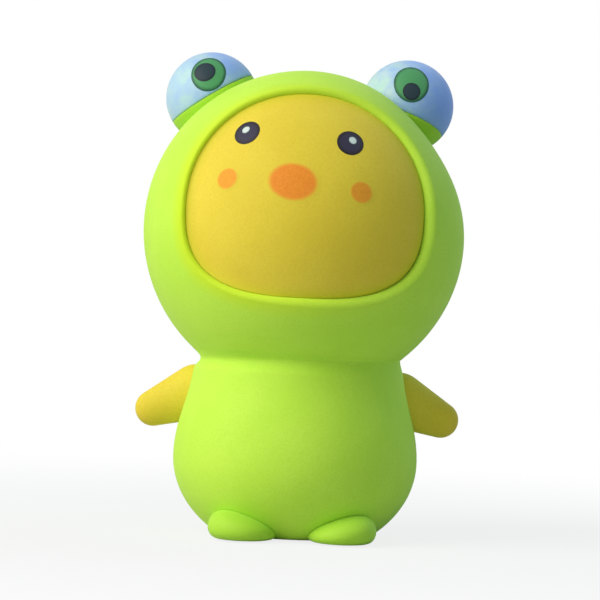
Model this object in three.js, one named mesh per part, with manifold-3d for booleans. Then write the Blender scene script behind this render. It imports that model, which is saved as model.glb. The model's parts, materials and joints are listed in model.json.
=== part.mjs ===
// A squeezable foam toy: a round yellow chick in a green suit with a frog hood.
// Each casting of soft foam and each printed spot of the faces is its own mesh.
// Millimetres and degrees, +Z up, origin on the table under the middle of the toy.
// The toy faces -Y. Left and right are its own, so its left is +X.

import * as THREE from 'three';
import { mergeVertices } from 'three/addons/utils/BufferGeometryUtils.js';
import Module from 'manifold-3d';

// Gap between pieces that are glued or seated together.
const CLEARANCE = 0.3;

// Trunk: a pear-shaped body with a flat base and a dished top that seats the head.
const TRUNK_HEIGHT = 42.7;
const BELLY_RADIUS = 29.8;
const BELLY_HEIGHT = 18.4;
const BASE_RADIUS = 17.5;
const NECK_RADIUS = 24.2;
const SHOULDER_OVERHANG = 1.5;
const SHOULDER_DROP = 3.2;
const BELLY_RISE = 8;
const SHOULDER_RISE = 8;
const SHOULDER_FLARE = 1.2;

// Plug in the top of the trunk, under the head.
const PLUG_RADIUS = 12;
const PLUG_DEPTH = 12;

// Feet: lumps with flat soles, cut by the trunk, whose toes come just past the belly.
const FOOT_WIDTH = 16;
const FOOT_LENGTH = 22;
const FOOT_HEIGHT = 7.6;
const FOOT_ROUNDING = 4.8;
const FOOT_SPREAD = 11.8;
const FOOT_OVERHANG = 0.2;
const FOOT_TURN = 14;
const FOOT_TILT = 8;

// Wings: tapered stubs whose round roots sit in sockets in the trunk's sides.
const WING_ROOT_RADIUS = 6.7;
const WING_TIP_RADIUS = 4.3;
const WING_LENGTH = 8.9;
const WING_THICKNESS = 10;
const WING_DROOP = 23;
const WING_BELOW_NECK = 9.7;
const WING_SETBACK = 3;

// Head: a ball-shaped hood with a face opening. Angles are measured at its middle.
const HEAD_RADIUS = 39.3;
const FACE_TILT = 10;
const FACE_SIDE_ANGLE = 49.8;
const FACE_TOP_ANGLE = 51.9;
const FACE_CHIN_ANGLE = 35.6;
const FACE_TOP_SQUARENESS = 2.1;
const FACE_CHIN_SQUARENESS = 2.8;
const LIP_ROUNDING = 1.2;

// Face: a thick yellow insert, set back from the hood's surface.
const FACE_INSET = 2.1;
const FACE_THICKNESS = 12;

// Frog eyes: balls half sunk in the hood, each a green lid below and a pale dome above.
// Spread and lean are angles out to the side, and a lid's rise is from the ball's middle.
const FROG_EYE_RADIUS = 11;
const FROG_EYE_SPREAD = 36.9;
const FROG_EYE_SETBACK = 11;
const FROG_EYE_STANDOFF = 1.7;
const EYELID = {
  left: { lean: 18, setback: 10.5, rise: -3.4 },
  right: { lean: 35.3, setback: 2, rise: -0.7 },
};

// Prints: thin films on the foam. Places are turn (towards the toy's left) and rise
// as seen from the middle of the ball that they lie on; sizes are along the surface.
const PRINT_GAP = 0.15;
const PRINT_THICKNESS = 0.2;
const FACE_PRINT_SKEW = 3.7;
const FACE_PRINT_TURN = -6.2;
const CHICK_EYE_SHIFT = -1.3;
const CHICK_EYE = { turn: 23.8, rise: 35.1, width: 6.4, height: 7.1, spin: 28 };
const GLINT = { turn: 23.9, rise: 36.2, width: 1.9, height: 2.1, spin: 0 };
const CHEEK = { turn: 26.2, rise: 15.6, width: 5.2, height: 5, spin: 0 };
const BEAK = { turn: 0, rise: 16.9, width: 11.2, height: 8.8, spin: -4 };
const IRIS = {
  left: { turn: 2.6, rise: 28.5, width: 8.8, height: 10.4, spin: 0 },
  right: { turn: -5.4, rise: 31.2, width: 8.7, height: 10.2, spin: 0 },
};
const PUPIL = {
  left: { turn: 2.7, rise: 15.8, width: 4.3, height: 4.5, spin: 0 },
  right: { turn: -10.9, rise: 31.8, width: 5.3, height: 5.5, spin: 0 },
};

// Facets round each shape, and steps along each curve of its outline.
const TRUNK_SEGMENTS = 36;
const TRUNK_STEPS = 5;
const PLUG_STEPS = 3;
const FOOT_SEGMENTS = 20;
const WING_SEGMENTS = 20;
const WING_STEPS = 3;
const HOOD_SEGMENTS = 48;
const LIP_STEPS = 4;
const BACK_STEPS = 10;
const FACE_SHARES = [0.25, 0.5, 0.75];
const POCKET_SHARE = 0.5;
const EYE_SEGMENTS = 28;
const EYE_STEPS = 6;
const PRINT_SEGMENTS = 16;
const PRINT_SHARE = 0.55;

const SIDES = { left: 1, right: -1 };
const UP = new THREE.Vector3(0, 0, 1);
const { degToRad } = THREE.MathUtils;

const wasm = await Module();
wasm.setup();

// Foam skins and print inks.
function foam(color) {
  return new THREE.MeshStandardMaterial({ color, roughness: 0.75, metalness: 0 });
}

function ink(color) {
  return new THREE.MeshStandardMaterial({ color, roughness: 0.5, metalness: 0 });
}

const suitGreen = foam(0xa9dc3e);
const lidGreen = foam(0x9ad22f);
const chickYellow = foam(0xe3c440);
const domeBlue = foam(0xa9c6ea);
const irisGreen = ink(0x55a05a);
const pupilNavy = ink(0x26344a);
const eyeBlack = ink(0x2f2b3a);
const glintWhite = ink(0xe8f0f4);
const beakOrange = ink(0xee8f2c);
const cheekOrange = ink(0xf0a233);

// Booleans on closed geometries.
function solidOf(geometry) {
  const bare = geometry.clone();
  bare.deleteAttribute('normal');
  bare.deleteAttribute('uv');
  const merged = mergeVertices(bare, 1e-4);
  const corners = Array.from(merged.index.array);
  const triVerts = [];
  for (let i = 0; i < corners.length; i += 3) {
    const [a, b, c] = corners.slice(i, i + 3);
    if (a !== b && b !== c && c !== a) triVerts.push(a, b, c);
  }
  return new wasm.Manifold(new wasm.Mesh({
    numProp: 3,
    vertProperties: new Float32Array(merged.attributes.position.array),
    triVerts: new Uint32Array(triVerts),
  }));
}

function geometryOf(solid) {
  const { vertProperties, triVerts } = solid.getMesh();
  const geometry = new THREE.BufferGeometry();
  geometry.setAttribute('position', new THREE.BufferAttribute(vertProperties, 3));
  geometry.setIndex(new THREE.BufferAttribute(triVerts, 1));
  geometry.computeVertexNormals();
  return geometry;
}

function cut(geometry, ...cutters) {
  const solid = cutters.reduce((left, cutter) => left.subtract(solidOf(cutter)), solidOf(geometry));
  return geometryOf(solid);
}

// A shape of revolution about Z from a path of (radius, height).
function turned(path, divisions, segments) {
  return new THREE.LatheGeometry(path.getPoints(divisions), segments).rotateX(Math.PI / 2);
}

// A closed skin through rings of points, with a single point at each end. The rings run
// anticlockwise as seen from outside the starting end.
function skinned(start, rings, end) {
  const count = rings[0].length;
  const points = [start, ...rings.flat(), end];
  const last = points.length - 1;
  const at = (ring, i) => 1 + ring * count + (i % count);
  const index = [];
  for (let i = 0; i < count; i += 1) {
    index.push(0, at(0, i), at(0, i + 1));
    for (let ring = 0; ring + 1 < rings.length; ring += 1) {
      index.push(at(ring, i), at(ring + 1, i), at(ring + 1, i + 1));
      index.push(at(ring, i), at(ring + 1, i + 1), at(ring, i + 1));
    }
    index.push(last, at(rings.length - 1, i + 1), at(rings.length - 1, i));
  }
  const geometry = new THREE.BufferGeometry().setFromPoints(points);
  geometry.setIndex(index);
  geometry.computeVertexNormals();
  return geometry;
}

function named(name, geometry, material) {
  const mesh = new THREE.Mesh(geometry, material);
  mesh.name = name;
  return mesh;
}

// The head's seat: a ball a clearance larger than the hood, resting on the neck's rim.
const SEAT_RADIUS = HEAD_RADIUS + CLEARANCE;
const HEAD_HEIGHT = TRUNK_HEIGHT + Math.sqrt(SEAT_RADIUS ** 2 - NECK_RADIUS ** 2);

function seatHeight(radius) {
  return HEAD_HEIGHT - Math.sqrt(SEAT_RADIUS ** 2 - radius ** 2);
}

// Trunk outline from the middle of the base, over the belly and shoulder, to the dish.
// A grown outline is the same shape, larger by that much, for cutting what touches it.
function trunkOutline(grow) {
  const belly = BELLY_RADIUS + grow;
  const base = BASE_RADIUS + grow;
  const lower = BELLY_HEIGHT / Math.sqrt(1 - (BASE_RADIUS / BELLY_RADIUS) ** 2) + grow;
  const neck = NECK_RADIUS + grow;
  const shoulder = neck + SHOULDER_OVERHANG;
  const shoulderHeight = TRUNK_HEIGHT - SHOULDER_DROP;
  const outline = new THREE.Path();
  const baseHeight = BELLY_HEIGHT - lower * Math.sqrt(1 - (base / belly) ** 2);
  outline.moveTo(0, baseHeight);
  outline.lineTo(base, baseHeight);
  outline.absellipse(0, BELLY_HEIGHT, belly, lower, -Math.acos(base / belly), 0);
  outline.bezierCurveTo(
    belly, BELLY_HEIGHT + BELLY_RISE,
    shoulder + SHOULDER_FLARE, shoulderHeight - SHOULDER_RISE,
    shoulder, shoulderHeight,
  );
  outline.quadraticCurveTo(shoulder, TRUNK_HEIGHT, neck, TRUNK_HEIGHT);
  return outline;
}

function trunkGeometry() {
  const outline = trunkOutline(0);
  const rim = -Math.acos(NECK_RADIUS / SEAT_RADIUS);
  outline.absarc(0, HEAD_HEIGHT, SEAT_RADIUS, rim, -Math.PI / 2, true);
  return turned(outline, TRUNK_STEPS, TRUNK_SEGMENTS);
}

// Radius of the trunk at a height between the belly and the shoulder.
function trunkRadius(height) {
  const points = trunkOutline(0).getPoints(40);
  const above = points.findIndex((point) => point.y >= height && point.x > BASE_RADIUS);
  const low = points[above - 1];
  const high = points[above];
  return THREE.MathUtils.mapLinear(height, low.y, high.y, low.x, high.x);
}

// Plug and the hole in the trunk that holds it.
const PLUG_BOTTOM = seatHeight(0) - PLUG_DEPTH;

function plugGeometry() {
  const outline = new THREE.Path();
  outline.moveTo(0, PLUG_BOTTOM);
  outline.lineTo(PLUG_RADIUS, PLUG_BOTTOM);
  outline.lineTo(PLUG_RADIUS, seatHeight(PLUG_RADIUS));
  outline.absarc(0, HEAD_HEIGHT, SEAT_RADIUS, -Math.acos(PLUG_RADIUS / SEAT_RADIUS), -Math.PI / 2, true);
  return turned(outline, PLUG_STEPS, EYE_SEGMENTS);
}

function plugHole() {
  const floor = PLUG_BOTTOM - CLEARANCE;
  const depth = TRUNK_HEIGHT - floor;
  const radius = PLUG_RADIUS + CLEARANCE;
  return new THREE.CylinderGeometry(radius, radius, depth, EYE_SEGMENTS)
    .rotateX(Math.PI / 2)
    .translate(0, 0, floor + depth / 2);
}

// Wing: two balls of different size and the cone that touches both, flattened front to back.
// A grown wing is larger all round by that much, for cutting its socket.
const WING_HEIGHT = TRUNK_HEIGHT - WING_BELOW_NECK;
const WING_PLACE = new THREE.Vector3(
  Math.sqrt(trunkRadius(WING_HEIGHT) ** 2 - WING_SETBACK ** 2),
  WING_SETBACK,
  WING_HEIGHT,
);

function wingGeometry(grow) {
  const root = WING_ROOT_RADIUS + grow;
  const tip = WING_TIP_RADIUS + grow;
  const touch = Math.asin((root - tip) / WING_LENGTH);
  const flatness = (WING_THICKNESS / 2 + grow) / root;
  const outline = new THREE.Path();
  outline.absarc(0, 0, root, -Math.PI / 2, touch);
  outline.absarc(0, WING_LENGTH, tip, touch, Math.PI / 2);
  return turned(outline, WING_STEPS, WING_SEGMENTS).scale(1, flatness, 1);
}

function wing(name, side) {
  const mesh = named(name, wingGeometry(0), chickYellow);
  mesh.position.set(side * WING_PLACE.x, WING_PLACE.y, WING_PLACE.z);
  mesh.rotation.y = side * degToRad(90 + WING_DROOP);
  return mesh;
}

function wingSocket(side) {
  return wingGeometry(CLEARANCE)
    .rotateY(side * degToRad(90 + WING_DROOP))
    .translate(side * WING_PLACE.x, WING_PLACE.y, WING_PLACE.z);
}

// Foot: an egg-shaped lump, turned outwards, cut flat on the table and hollowed by the trunk.
const FOOT_REACH = BELLY_RADIUS + FOOT_OVERHANG;

function footGeometry(side) {
  const lump = new THREE.SphereGeometry(1, FOOT_SEGMENTS, FOOT_SEGMENTS / 2)
    .rotateX(Math.PI / 2)
    .scale(FOOT_WIDTH / 2, FOOT_LENGTH / 2, FOOT_ROUNDING)
    .rotateY(-side * degToRad(FOOT_TILT))
    .rotateZ(side * degToRad(FOOT_TURN))
    .translate(side * FOOT_SPREAD, FOOT_LENGTH / 2 - FOOT_REACH, FOOT_HEIGHT - FOOT_ROUNDING);
  const table = new THREE.BoxGeometry(4 * FOOT_REACH, 4 * FOOT_REACH, FOOT_REACH)
    .translate(0, 0, -FOOT_REACH / 2);
  const outline = trunkOutline(CLEARANCE);
  outline.lineTo(0, TRUNK_HEIGHT);
  return cut(lump, table, turned(outline, TRUNK_STEPS, TRUNK_SEGMENTS));
}

// Directions from the middle of the head. The face opening is a rounded arch about an
// axis that points forwards and up; the turn round it starts at the toy's left.
function headDirection(turn, angle) {
  const across = Math.sin(angle);
  return new THREE.Vector3(across * Math.cos(turn), -Math.cos(angle), across * Math.sin(turn))
    .applyAxisAngle(new THREE.Vector3(1, 0, 0), -degToRad(FACE_TILT));
}

function openingAngle(turn) {
  const upper = Math.sin(turn) >= 0;
  const tall = degToRad(upper ? FACE_TOP_ANGLE : FACE_CHIN_ANGLE);
  const wide = degToRad(FACE_SIDE_ANGLE);
  const power = upper ? FACE_TOP_SQUARENESS : FACE_CHIN_SQUARENESS;
  const reach = Math.abs(Math.cos(turn) / wide) ** power + Math.abs(Math.sin(turn) / tall) ** power;
  return reach ** (-1 / power);
}

// A ring of points round the face axis: a share of the way out to the opening's edge,
// with a distance added along the surface, at a radius from the middle of the head.
function faceRing(share, distance, radius) {
  const points = [];
  for (let i = 0; i < HOOD_SEGMENTS; i += 1) {
    const turn = (2 * Math.PI * i) / HOOD_SEGMENTS;
    const angle = share * openingAngle(turn) + distance / radius;
    points.push(headDirection(turn, angle).multiplyScalar(radius));
  }
  return points;
}

// The hood's rolled lip: rings on a curve from the opening's wall round to the outside.
function lipRings() {
  const inner = faceRing(1, 0, HEAD_RADIUS - LIP_ROUNDING);
  const corner = faceRing(1, 0, HEAD_RADIUS);
  const outer = faceRing(1, LIP_ROUNDING, HEAD_RADIUS);
  const rings = Array.from({ length: LIP_STEPS + 1 }, () => []);
  for (let i = 0; i < HOOD_SEGMENTS; i += 1) {
    const curve = new THREE.QuadraticBezierCurve3(inner[i], corner[i], outer[i]);
    rings.forEach((ring, step) => ring.push(curve.getPoint(step / LIP_STEPS)));
  }
  return rings;
}

// The hood's ball from the lip to the back of the head.
function backRings() {
  const rings = [];
  for (let step = 1; step < BACK_STEPS; step += 1) {
    const ring = [];
    for (let i = 0; i < HOOD_SEGMENTS; i += 1) {
      const turn = (2 * Math.PI * i) / HOOD_SEGMENTS;
      const edge = openingAngle(turn) + LIP_ROUNDING / HEAD_RADIUS;
      const angle = THREE.MathUtils.lerp(edge, Math.PI, step / BACK_STEPS);
      ring.push(headDirection(turn, angle).multiplyScalar(HEAD_RADIUS));
    }
    rings.push(ring);
  }
  return rings;
}

const FACE_RADIUS = HEAD_RADIUS - FACE_INSET;
const POCKET_RADIUS = FACE_RADIUS - FACE_THICKNESS - CLEARANCE;
const FROG_EYE_DISTANCE = HEAD_RADIUS + FROG_EYE_STANDOFF;

// A direction from straight up that leans out to one side and is set back.
function leaning(side, lean, setback) {
  return UP.clone()
    .applyAxisAngle(new THREE.Vector3(1, 0, 0), -degToRad(setback))
    .applyAxisAngle(new THREE.Vector3(0, 1, 0), side * degToRad(lean));
}

function frogEyePlace(side) {
  return leaning(side, FROG_EYE_SPREAD, FROG_EYE_SETBACK).multiplyScalar(FROG_EYE_DISTANCE);
}

function hoodGeometry() {
  const rings = [
    faceRing(POCKET_SHARE, 0, POCKET_RADIUS),
    faceRing(1, 0, POCKET_RADIUS),
    ...lipRings(),
    ...backRings(),
  ];
  const start = headDirection(0, 0).multiplyScalar(POCKET_RADIUS);
  const end = headDirection(0, Math.PI).multiplyScalar(HEAD_RADIUS);
  const sockets = Object.values(SIDES).map((side) => {
    const place = frogEyePlace(side);
    return new THREE.SphereGeometry(FROG_EYE_RADIUS + CLEARANCE, EYE_SEGMENTS, EYE_SEGMENTS / 2)
      .translate(place.x, place.y, place.z);
  });
  return cut(skinned(start, rings, end), ...sockets);
}

function faceGeometry() {
  const back = FACE_RADIUS - FACE_THICKNESS;
  const rings = [
    ...FACE_SHARES.map((share) => faceRing(share, 0, FACE_RADIUS)),
    faceRing(1, -CLEARANCE, FACE_RADIUS),
    faceRing(1, -CLEARANCE, back),
    faceRing(POCKET_SHARE, 0, back),
  ];
  const start = headDirection(0, 0).multiplyScalar(FACE_RADIUS);
  const end = headDirection(0, 0).multiplyScalar(back);
  return skinned(start, rings, end);
}

// The parts of a frog eye about the ball's middle: the dome above the lid line, the lid below.
function domeGeometry(rise) {
  const floor = rise + CLEARANCE / 2;
  const start = Math.asin(floor / FROG_EYE_RADIUS);
  const outline = new THREE.Path();
  outline.moveTo(0, floor);
  outline.lineTo(FROG_EYE_RADIUS * Math.cos(start), floor);
  outline.absarc(0, 0, FROG_EYE_RADIUS, start, Math.PI / 2);
  return turned(outline, EYE_STEPS, EYE_SEGMENTS);
}

function lidGeometry(rise) {
  const ceiling = rise - CLEARANCE / 2;
  const outline = new THREE.Path();
  outline.absarc(0, 0, FROG_EYE_RADIUS, -Math.PI / 2, Math.asin(ceiling / FROG_EYE_RADIUS));
  outline.lineTo(0, ceiling);
  return turned(outline, EYE_STEPS, EYE_SEGMENTS);
}

// A printed oval on a ball, facing out along a place given by turn and rise.
// Layer 0 lies on the foam, layer 1 on another print.
function printMesh(name, material, ballRadius, place, layer) {
  const low = ballRadius + PRINT_GAP + layer * (PRINT_GAP + PRINT_THICKNESS);
  const high = low + PRINT_THICKNESS;
  const ring = (share, radius) => Array.from({ length: PRINT_SEGMENTS }, (_, i) => {
    const turn = (2 * Math.PI * i) / PRINT_SEGMENTS;
    const across = (share * place.width * Math.cos(turn)) / 2;
    const along = (share * place.height * Math.sin(turn)) / 2;
    const angle = Math.hypot(across, along) / ballRadius;
    const heading = Math.atan2(along, across);
    return new THREE.Vector3(
      Math.sin(angle) * Math.cos(heading),
      Math.sin(angle) * Math.sin(heading),
      Math.cos(angle),
    ).multiplyScalar(radius);
  });
  const rings = [ring(PRINT_SHARE, high), ring(1, high), ring(1, low), ring(PRINT_SHARE, low)];
  const geometry = skinned(new THREE.Vector3(0, 0, high), rings, new THREE.Vector3(0, 0, low));
  const mesh = named(name, geometry, material);
  const turn = degToRad(place.turn);
  const rise = degToRad(place.rise);
  const out = new THREE.Vector3(
    Math.cos(rise) * Math.sin(turn),
    -Math.cos(rise) * Math.cos(turn),
    Math.sin(rise),
  );
  const across = new THREE.Vector3().crossVectors(UP, out).normalize();
  const along = new THREE.Vector3().crossVectors(out, across);
  mesh.quaternion.setFromRotationMatrix(new THREE.Matrix4().makeBasis(across, along, out));
  mesh.rotateZ(degToRad(place.spin));
  return mesh;
}

// The same place on the toy's other side, with a shift that both sides share.
function mirrored(place, side, shift) {
  return { ...place, turn: side * place.turn + shift, spin: -side * place.spin };
}

function frogEye(side, sideName) {
  const eye = new THREE.Group();
  eye.position.copy(frogEyePlace(side));
  const { lean, setback, rise } = EYELID[sideName];
  const dome = named(`frog_eye_${sideName}`, domeGeometry(rise), domeBlue);
  const lid = named(`eyelid_${sideName}`, lidGeometry(rise), lidGreen);
  for (const piece of [dome, lid]) {
    piece.quaternion.setFromUnitVectors(UP, leaning(side, lean, setback));
    eye.add(piece);
  }
  eye.add(printMesh(`iris_${sideName}`, irisGreen, FROG_EYE_RADIUS, IRIS[sideName], 0));
  eye.add(printMesh(`pupil_${sideName}`, pupilNavy, FROG_EYE_RADIUS, PUPIL[sideName], 1));
  return eye;
}

function head() {
  const group = new THREE.Group();
  group.position.z = HEAD_HEIGHT;
  group.add(named('hood', hoodGeometry(), suitGreen));
  group.add(named('face', faceGeometry(), chickYellow));
  const prints = new THREE.Group();
  prints.rotation.set(0, degToRad(FACE_PRINT_SKEW), degToRad(FACE_PRINT_TURN), 'ZYX');
  prints.add(printMesh('beak', beakOrange, FACE_RADIUS, BEAK, 0));
  group.add(prints);
  for (const [sideName, side] of Object.entries(SIDES)) {
    const chickEye = mirrored(CHICK_EYE, side, CHICK_EYE_SHIFT);
    const glint = mirrored(GLINT, side, CHICK_EYE_SHIFT);
    prints.add(printMesh(`chick_eye_${sideName}`, eyeBlack, FACE_RADIUS, chickEye, 0));
    prints.add(printMesh(`glint_${sideName}`, glintWhite, FACE_RADIUS, glint, 1));
    prints.add(printMesh(`cheek_${sideName}`, cheekOrange, FACE_RADIUS, mirrored(CHEEK, side, 0), 0));
    group.add(frogEye(side, sideName));
  }
  return group;
}

function body() {
  const group = new THREE.Group();
  const sockets = Object.values(SIDES).map(wingSocket);
  group.add(named('trunk', cut(trunkGeometry(), plugHole(), ...sockets), suitGreen));
  group.add(named('neck_plug', plugGeometry(), suitGreen));
  for (const [sideName, side] of Object.entries(SIDES)) {
    group.add(wing(`wing_${sideName}`, side));
    group.add(named(`foot_${sideName}`, footGeometry(side), suitGreen));
  }
  return group;
}

const toy = new THREE.Group();
toy.add(body(), head());

export default toy;
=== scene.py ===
"""A squeezable foam toy, a chick in a frog-hooded suit, dressed around its frame. Metres, +Z up."""

import json
import math

import bmesh
import bpy
from mathutils import Matrix, Vector
from mathutils.geometry import interpolate_bezier


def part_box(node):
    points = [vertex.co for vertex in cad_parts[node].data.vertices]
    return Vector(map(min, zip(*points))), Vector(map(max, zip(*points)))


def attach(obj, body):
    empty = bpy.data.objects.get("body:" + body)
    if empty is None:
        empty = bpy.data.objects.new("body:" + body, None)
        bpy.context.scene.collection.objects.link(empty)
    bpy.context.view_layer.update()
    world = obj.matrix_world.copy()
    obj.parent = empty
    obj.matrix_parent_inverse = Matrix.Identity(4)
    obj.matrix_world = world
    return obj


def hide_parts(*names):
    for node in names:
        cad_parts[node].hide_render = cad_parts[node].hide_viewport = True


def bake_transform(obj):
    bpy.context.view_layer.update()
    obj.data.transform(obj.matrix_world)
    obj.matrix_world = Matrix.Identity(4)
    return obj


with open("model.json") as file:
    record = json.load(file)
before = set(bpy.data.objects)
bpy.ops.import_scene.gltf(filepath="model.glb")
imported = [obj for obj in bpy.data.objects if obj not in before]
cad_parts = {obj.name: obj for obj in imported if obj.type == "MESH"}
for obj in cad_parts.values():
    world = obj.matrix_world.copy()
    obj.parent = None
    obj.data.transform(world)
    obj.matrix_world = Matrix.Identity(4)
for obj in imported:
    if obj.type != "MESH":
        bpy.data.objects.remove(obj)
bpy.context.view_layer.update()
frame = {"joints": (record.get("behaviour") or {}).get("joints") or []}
joints = {joint["name"]: joint for joint in frame["joints"]}
head_middle = Vector(joints["head_nod"]["pos_m"])

# Trunk: the pear-shaped body of the suit, one casting of slow-rising polyurethane foam with
# a painted skin. Its top is dished to seat the head, and a soft collar closes the neck.
# Sizes of pieces are written in millimetres, and points of an outline as (radius, height).
MM = 0.001
SEAT_GAP = 0.03
HEAD_RADIUS = 39.3
BASE_FLAT = 14.5
BASE_HANDLE = 3
BASE_TURN = 20.4
BASE_TURN_HANDLE = (1.2, 0.9)
BELLY_HEIGHT = 18.4
BELLY_DEPTH = 23.6
BELLY_HANDLE = 8
SHOULDER = (25.7, 39.3)
SHOULDER_HANDLE_BELOW = (1.2, 8)
SHOULDER_HANDLE_ABOVE = (0.25, 1.6)
NECK = (24.4, 42.9)
NECK_LEAN = (0.3, 0.6)
NECK_HANDLE_BELOW = 1.1
NECK_HANDLE_ABOVE = 0.7
COLLAR_RADIUS = 25.8
COLLAR_LEAN = 0.4
COLLAR_HANDLE = 1
PLUG_RADIUS = 12
PLUG_DEPTH = 12
PLUG_GAP = 0.3
HOLE_ROUNDING = 0.6
BASE_STEPS = 8
BELLY_STEPS = 20
SIDE_STEPS = 22
NECK_STEPS = 9
DISH_STEPS = 12
TRUNK_SIDES = 144
SUIT_GREEN = "c6f346"
SUIT_PALE = "cef74f"
SUIT_DEEP = "bbea3c"
CLOUD_SIZE = 14
GRAIN_SIZE = 0.5
FOAM_RELIEF = {"Strength": 0.22, "Distance": 0.06 * MM}
FOAM_FINISH = {
    "Roughness": 0.68,
    "IOR": 1.45,
    "Specular IOR Level": 0.4,
    "Sheen Weight": 0.08,
    "Sheen Roughness": 0.5,
}


def linear(colour):
    """An sRGB hex colour as the linear colour that a shader takes."""
    shares = [int(colour[i:i + 2], 16) / 255 for i in (0, 2, 4)]
    return [c / 12.92 if c <= 0.04045 else ((c + 0.055) / 1.055) ** 2.4 for c in shares] + [1]


def add(tree, kind, settings, links):
    """Adds a node, sets its properties and unlinked sockets, and links the rest."""
    made = tree.nodes.new(kind)
    for name, value in settings.items():
        if isinstance(name, str) and hasattr(made, name):
            setattr(made, name, value)
        else:
            made.inputs[name].default_value = value
    for name, source in links.items():
        tree.links.new(source, made.inputs[name])
    return made


def new_material(name):
    """A material with a shader of its own, and its node tree."""
    material = bpy.data.materials.new(name)
    material.use_nodes = True
    return material, material.node_tree


def finish_surface(tree, colour, grain, relief, finish):
    """Gives the shader its colour, the relief of a grain, and the constants of a finish."""
    bump = add(tree, "ShaderNodeBump", relief, {"Height": grain})
    shader = tree.nodes["Principled BSDF"]
    tree.links.new(colour, shader.inputs["Base Color"])
    tree.links.new(bump.outputs[0], shader.inputs["Normal"])
    for socket, value in finish.items():
        shader.inputs[socket].default_value = value


def foam_colour(tree, colour, pale, deep):
    """Colour and grain of a foam skin: broad cloudy patches from spraying, and fine powdery
    grain. The real grain is about 0.2 mm; it is drawn at 0.5 mm so that it shows."""
    place = add(tree, "ShaderNodeTexCoord", {}, {}).outputs["Object"]
    clouds = add(tree, "ShaderNodeTexNoise", {"Scale": 1 / (CLOUD_SIZE * MM), "Detail": 3},
                 {"Vector": place}).outputs[0]
    grain = add(tree, "ShaderNodeTexNoise", {"Scale": 1 / (GRAIN_SIZE * MM), "Detail": 3},
                {"Vector": place}).outputs[0]
    cloudy = add(tree, "ShaderNodeMapRange", {"From Min": 0.35, "From Max": 0.65},
                 {"Value": clouds}).outputs[0]
    speckled = add(tree, "ShaderNodeMapRange", {"From Min": 0.4, "From Max": 0.75, "To Max": 0.5},
                   {"Value": grain}).outputs[0]
    sprayed = add(tree, "ShaderNodeMix", {"data_type": "RGBA", 6: linear(colour), 7: linear(pale)},
                  {0: cloudy}).outputs[2]
    speckle = add(tree, "ShaderNodeMix", {"data_type": "RGBA", 7: linear(deep)},
                  {0: speckled, 6: sprayed}).outputs[2]
    return speckle, grain


def foam_skin(name, colour, pale, deep, painted_light_tint=None):
    """Polyurethane foam with a thin skin of flexible paint: matt and powdery, so it has a broad
    weak gloss, a little sheen at the edges and a fine soft grain. A painted light tint is a second
    colour, painted where the share attribute is high, for bounce light on the hood's lip and
    shade in the face's crease."""
    material, tree = new_material(name)
    painted, grain = foam_colour(tree, colour, pale, deep)
    if painted_light_tint:
        share = add(tree, "ShaderNodeAttribute", {"attribute_name": "share"}, {}).outputs["Fac"]
        painted = add(tree, "ShaderNodeMix", {"data_type": "RGBA", 7: linear(painted_light_tint)},
                      {0: share, 6: painted}).outputs[2]
    finish_surface(tree, painted, grain, FOAM_RELIEF, FOAM_FINISH)
    return material


def arc(middle, radii, start, end, steps):
    """Points of an outline on an ellipse, from one angle in degrees to another."""
    angles = [math.radians(start + (end - start) * i / steps) for i in range(steps + 1)]
    return [(middle[0] + radii[0] * math.cos(a), middle[1] + radii[1] * math.sin(a)) for a in angles]


def curve(start, start_handle, end_handle, end, steps):
    """Points of an outline on a Bezier curve, without its first point."""
    corners = [Vector(corner) for corner in (start, start_handle, end_handle, end)]
    return [tuple(point) for point in interpolate_bezier(*corners, steps + 1)][1:]


def skin(rings, start, end, shares=()):
    """A closed skin from one pole to the other, through rings of points. Shares, one for each
    point, are kept as an attribute for a material to read."""
    shape = bmesh.new()
    share = shape.verts.layers.float.new("share") if shares else None
    ring = bmesh.ops.create_circle(shape, segments=len(rings[0]), radius=1)["verts"]
    first_edges = ring_edges = list(shape.edges)
    for step, points in enumerate(rings):
        if step:
            drawn = bmesh.ops.extrude_edge_only(shape, edges=ring_edges)["geom"]
            new = {part for part in drawn if isinstance(part, bmesh.types.BMVert)}
            ring_edges = [part for part in drawn
                          if isinstance(part, bmesh.types.BMEdge) and new.issuperset(part.verts)]
            ring = [next(edge.other_vert(corner) for edge in corner.link_edges
                         if edge.other_vert(corner) in new) for corner in ring]
        for i, (corner, point) in enumerate(zip(ring, points)):
            corner.co = point
            if share:
                corner[share] = shares[step][i]
    for edges, pole, pole_share in ((first_edges, start, 0), (ring_edges, end, -1)):
        drawn = bmesh.ops.extrude_edge_only(shape, edges=edges)["geom"]
        tip = [part for part in drawn if isinstance(part, bmesh.types.BMVert)]
        if share:
            for corner in tip:
                corner[share] = shares[pole_share][0]
        bmesh.ops.pointmerge(shape, verts=tip, merge_co=pole)
    bmesh.ops.recalc_face_normals(shape, faces=shape.faces)
    return shape


def piece(name, shape, material):
    """Makes a bmesh a smooth piece at the origin."""
    mesh = bpy.data.meshes.new(name)
    shape.to_mesh(mesh)
    shape.free()
    mesh.shade_smooth()
    if material:
        mesh.materials.append(material)
    made = bpy.data.objects.new(name, mesh)
    bpy.context.scene.collection.objects.link(made)
    return made


def seat_height(radius):
    """Height of the dish under the hood at a distance from the middle."""
    return head_middle.z / MM - math.sqrt((HEAD_RADIUS + SEAT_GAP) ** 2 - radius ** 2)


belly_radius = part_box("trunk")[1].x / MM
belly_start = -math.degrees(math.acos(BASE_TURN / belly_radius))
belly = arc((0, BELLY_HEIGHT), (belly_radius, BELLY_DEPTH), belly_start, 0, BELLY_STEPS)
plug_floor = seat_height(0) - PLUG_DEPTH
hole_radius = PLUG_RADIUS + PLUG_GAP
hole_floor = plug_floor - PLUG_GAP


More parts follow.
